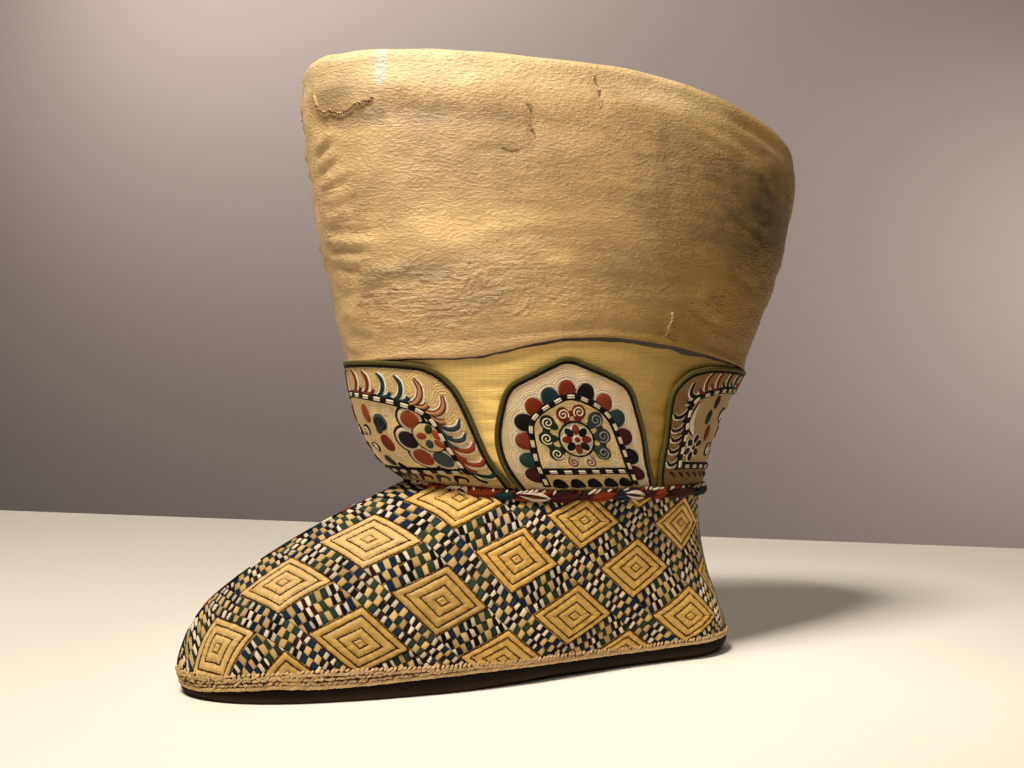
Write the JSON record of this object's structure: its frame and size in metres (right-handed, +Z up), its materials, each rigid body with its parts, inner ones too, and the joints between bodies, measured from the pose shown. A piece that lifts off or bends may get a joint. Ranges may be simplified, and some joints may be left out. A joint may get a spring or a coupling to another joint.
{
  "type": "embroidered boot",
  "caption": "Low cloth boot with a quilted foot, embroidered ankle panels edged in green cord, and a thick padded cuff that flares open at the top.",
  "frame": {"origin": "under the middle of the whole boot, on the plane that it stands on", "axes": "+Z up, the toe points to -Y, +X is the side that faces the camera"},
  "size_m": [0.12, 0.2976, 0.2649],
  "materials": {
    "sole": "dark worn sole, matt",
    "insole": "plain woven cotton",
    "foot_cloth": "gold silk covered with checkered satin stitch and quilted diamonds",
    "binding": "beige cotton, stitched through in close rows",
    "vamp_cord": "silk-wrapped cord",
    "ankle_cord": "silk-wrapped cord in bands of several colours",
    "band_cloth": "gold damask silk",
    "panel": "cream silk embroidered in satin stitch",
    "piping": "olive green couched cord",
    "cuff_silk": "worn tan-gold ribbed silk over padding"
  },
  "bodies": {
    "root": {"sole": "sole", "insole": "insole", "foot_upper": "foot_cloth", "sole_edge_binding": "binding", "vamp_seam_cord": "vamp_cord", "ankle_cord": "ankle_cord", "shaft_band": "band_cloth", "front_panel": "panel", "back_panel": "panel", "side_panel_left": "panel", "side_panel_right": "panel", "front_piping": "piping", "back_piping": "piping", "side_piping_left": "piping", "side_piping_right": "piping", "cuff": "cuff_silk"}
  },
  "joints": []
}
